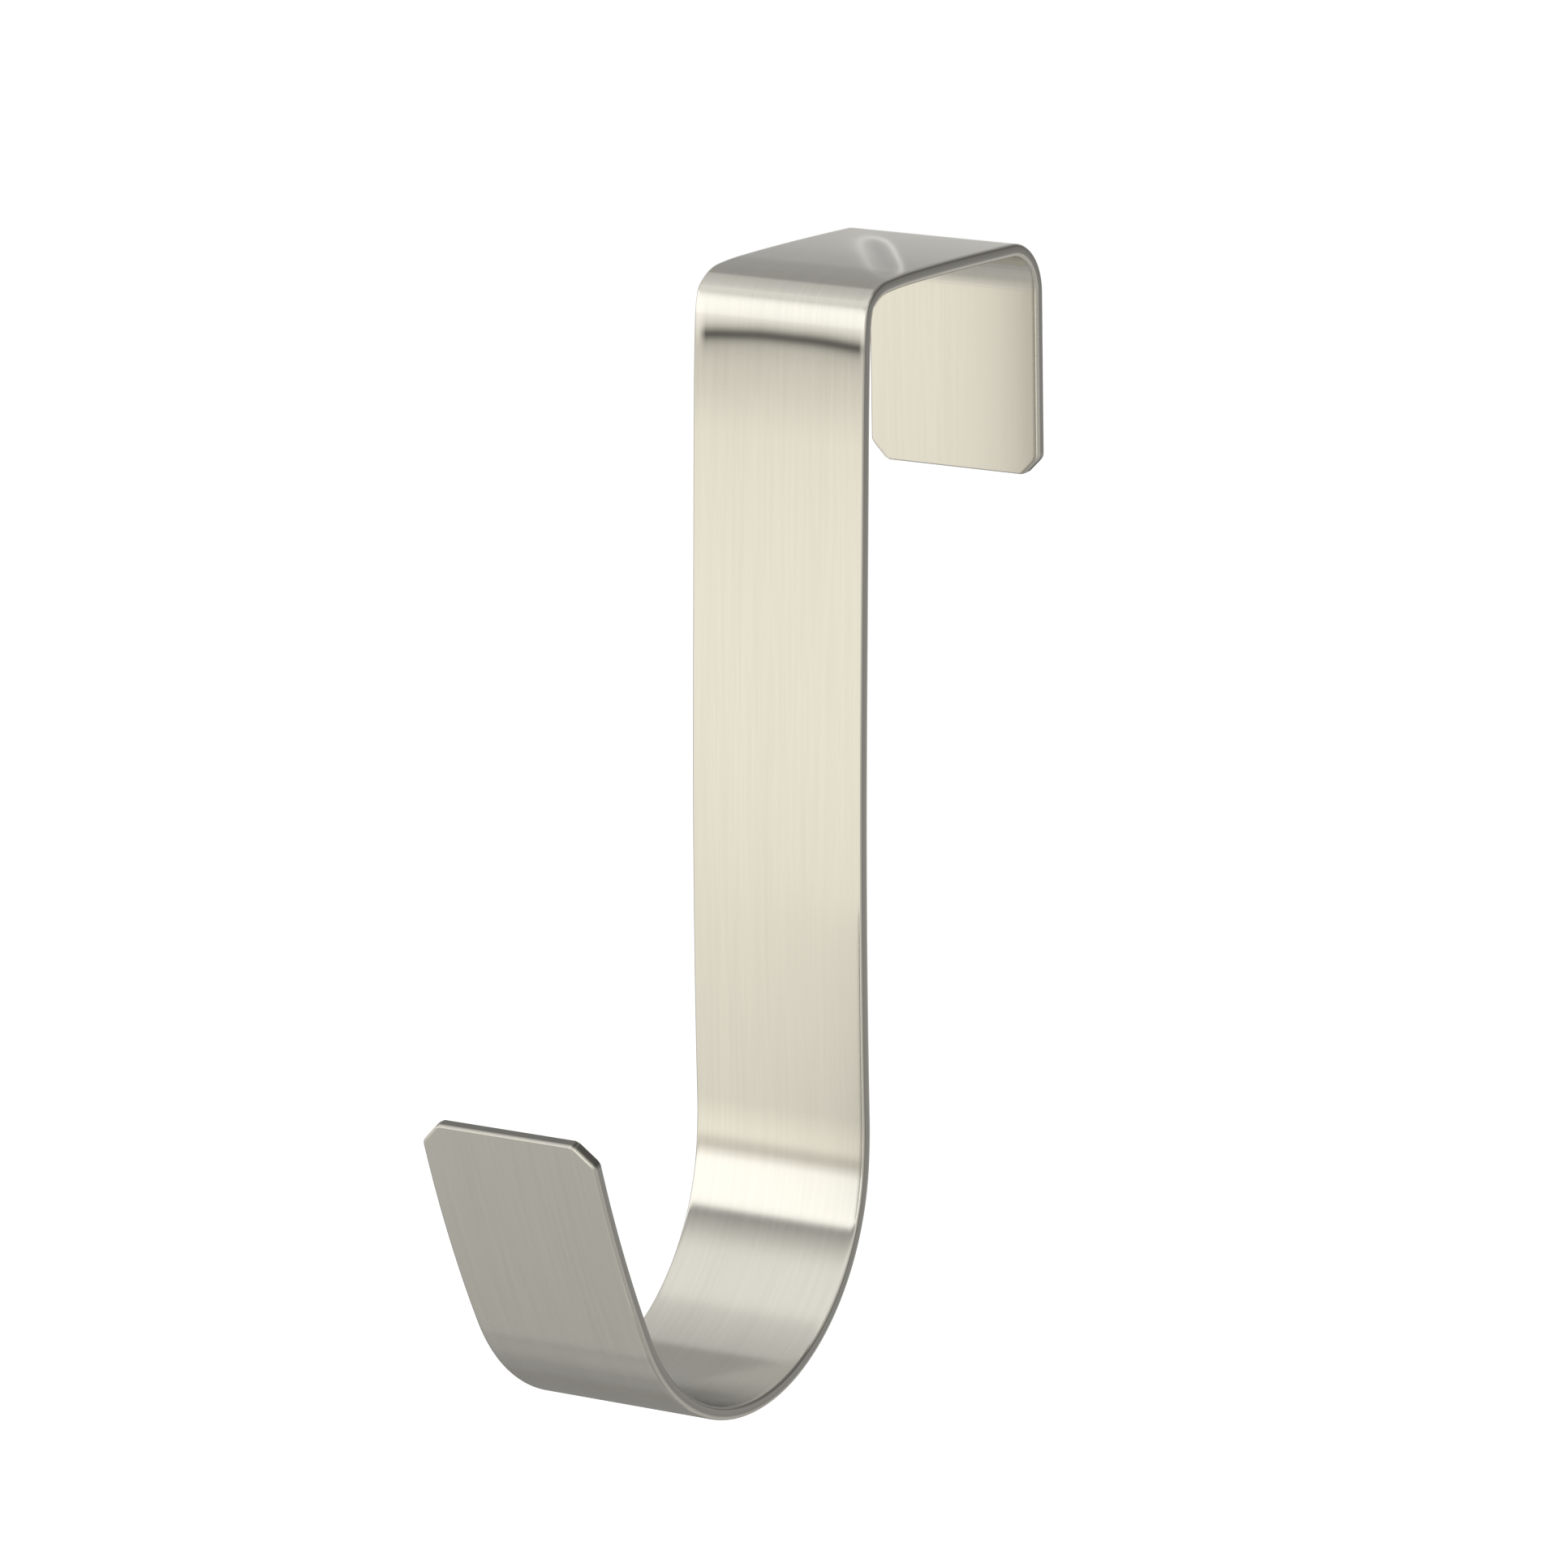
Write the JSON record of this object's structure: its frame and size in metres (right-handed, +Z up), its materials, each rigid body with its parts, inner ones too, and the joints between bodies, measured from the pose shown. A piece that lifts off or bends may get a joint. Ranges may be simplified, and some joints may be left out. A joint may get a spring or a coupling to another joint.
{
  "type": "cabinet door hook",
  "caption": "Bent steel strip that sits over the top of a cabinet door and holds a towel or a bag in its wide J-shaped hook.",
  "frame": {"origin": "middle of the flat underside of the top, which rests on the door's top edge", "axes": "+Z up, -Y towards the front of the door, where the hook is, +Y towards the tab behind the door, X across the strip"},
  "size_m": [0.015, 0.0638, 0.0829],
  "materials": {
    "satin_steel": "satin, with a faint grain along the strip and a warm tint"
  },
  "bodies": {
    "root": {"hook_strip": "satin_steel"}
  },
  "joints": []
}
